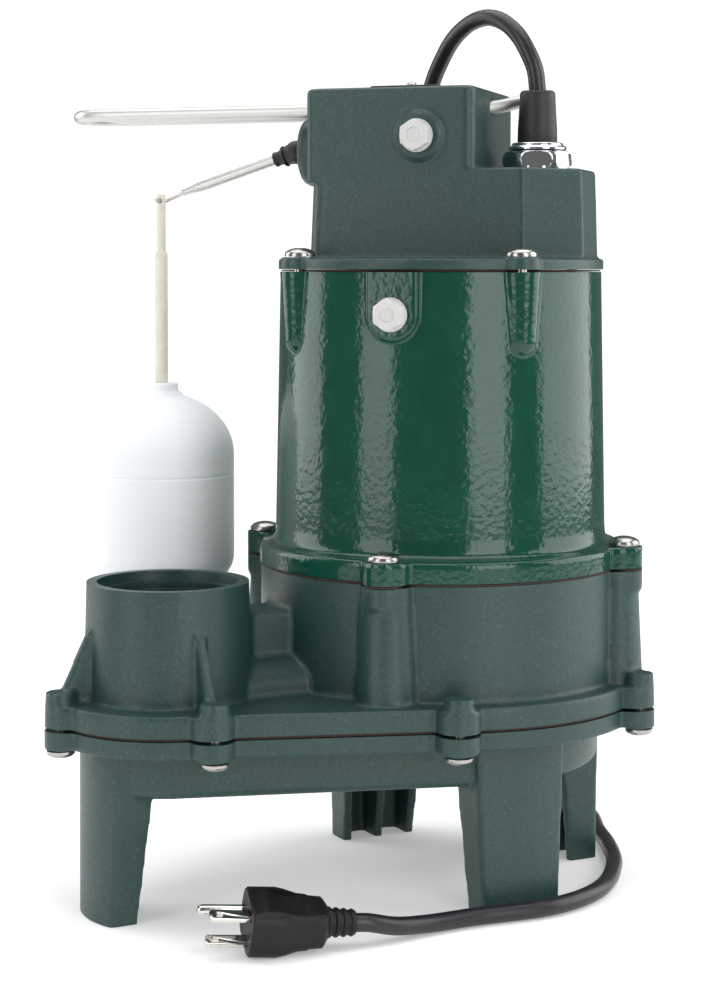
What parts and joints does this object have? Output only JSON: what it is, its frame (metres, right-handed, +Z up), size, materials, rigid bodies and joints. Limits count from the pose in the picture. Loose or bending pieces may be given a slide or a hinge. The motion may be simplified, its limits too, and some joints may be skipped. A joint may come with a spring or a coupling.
{
  "type": "submersible sump pump",
  "caption": "Submersible sump pump with a vertical float switch on an arm, a side discharge, a footed volute base and a mains cord.",
  "frame": {"origin": "middle of the pump's footprint, on the floor", "axes": "+Z up along the motor shaft, -X towards the discharge, the float arm in the quarter between -X and +Y"},
  "size_m": [0.3609, 0.3407, 0.4028],
  "materials": {
    "enamel": "gloss dark green enamel over cast iron",
    "casing": "fine-grained blue-green moulded plastic",
    "seal_rubber": "dark brown sheet seal",
    "cord_rubber": "slightly glossy black cord jacket",
    "boot_rubber": "matt black rubber",
    "stainless": "polished and drawn stainless steel",
    "chrome": "bright plating",
    "nylon": "white nylon",
    "float_plastic": "white moulded plastic, slightly speckled",
    "rod_plastic": "ivory plastic",
    "black_plastic": "black plastic",
    "cast_iron": "machined cast iron",
    "steel": "turned steel",
    "copper": "varnished copper wire",
    "brass": "turned brass",
    "nickel": "nickel-plated prongs"
  },
  "bodies": {
    "pump_body": {"base": "casing", "pump_case": "casing", "top_cap": "casing", "motor_housing": "enamel", "handle": "stainless", "motor_gasket": "seal_rubber", "cord_upper": "cord_rubber", "upper_bracket": "cast_iron", "cord_coil": "cord_rubber", "cord_lower": "cord_rubber", "plug_body": "cord_rubber", "seal_plate": "cast_iron", "cap_seal": "seal_rubber", "base_seal": "seal_rubber", "stator_core": "steel", "gland_nut": "chrome", "gland_collar": "chrome", "lower_winding": "copper", "upper_winding": "copper", "top_plate": "black_plastic", "lower_bearing": "steel", "upper_bearing": "steel", "seal_seat": "brass", "strain_relief": "cord_rubber", "switch_case_plug": "nylon", "oil_plug": "nylon", "top_plate_screw": "stainless", "cap_screw_1": "stainless", "cap_screw_2": "stainless", "cap_screw_3": "stainless", "cap_screw_4": "stainless", "flange_screw_1": "stainless", "flange_screw_2": "stainless", "flange_screw_3": "stainless", "flange_screw_4": "stainless", "base_screw_1": "stainless", "base_screw_2": "stainless", "base_screw_3": "stainless", "base_screw_4": "stainless", "base_screw_5": "stainless", "base_screw_6": "stainless", "base_screw_7": "stainless", "base_screw_8": "stainless", "ground_pin": "nickel", "microswitch": "black_plastic", "plug_blade_1": "nickel", "plug_blade_2": "nickel", "thermal_protector": "black_plastic"},
    "rotor_shaft": {"shaft": "steel", "rotor": "steel", "impeller": "cast_iron", "impeller_nut": "brass", "seal_ring": "steel"},
    "float_arm": {"switch_arm": "stainless", "arm_boot": "boot_rubber"},
    "float_assembly": {"float_rod": "rod_plastic", "float": "float_plastic"},
    "button": {"switch_button": "rod_plastic"}
  },
  "joints": [
    {"name": "shaft_spin", "type": "hinge", "parent": "pump_body", "child": "rotor_shaft", "pos_m": [0.045, -0.02053, 0.18], "axis": [0, 0, 1], "continuous": true},
    {"name": "arm_swing", "type": "hinge", "parent": "pump_body", "child": "float_arm", "pos_m": [-0.00556, 0.03003, 0.338], "axis": [0.7071, 0.7071, 0], "range_deg": [0, 38]},
    {"name": "float_hang", "type": "hinge", "parent": "float_arm", "child": "float_assembly", "pos_m": [-0.05506, 0.07952, 0.3155], "axis": [-0.7071, -0.7071, 0], "range_deg": [0, 38.5]},
    {"name": "button_slide", "type": "slide", "parent": "pump_body", "child": "button", "axis": [0, 0, -1], "range_m": [0, 0.0012]}
  ],
  "couplings": [
    {"joint": "float_hang", "follows": "arm_swing", "ratio": 1},
    {"joint": "button_slide", "follows": "arm_swing", "m_per_rad": 0.0018}
  ]
}
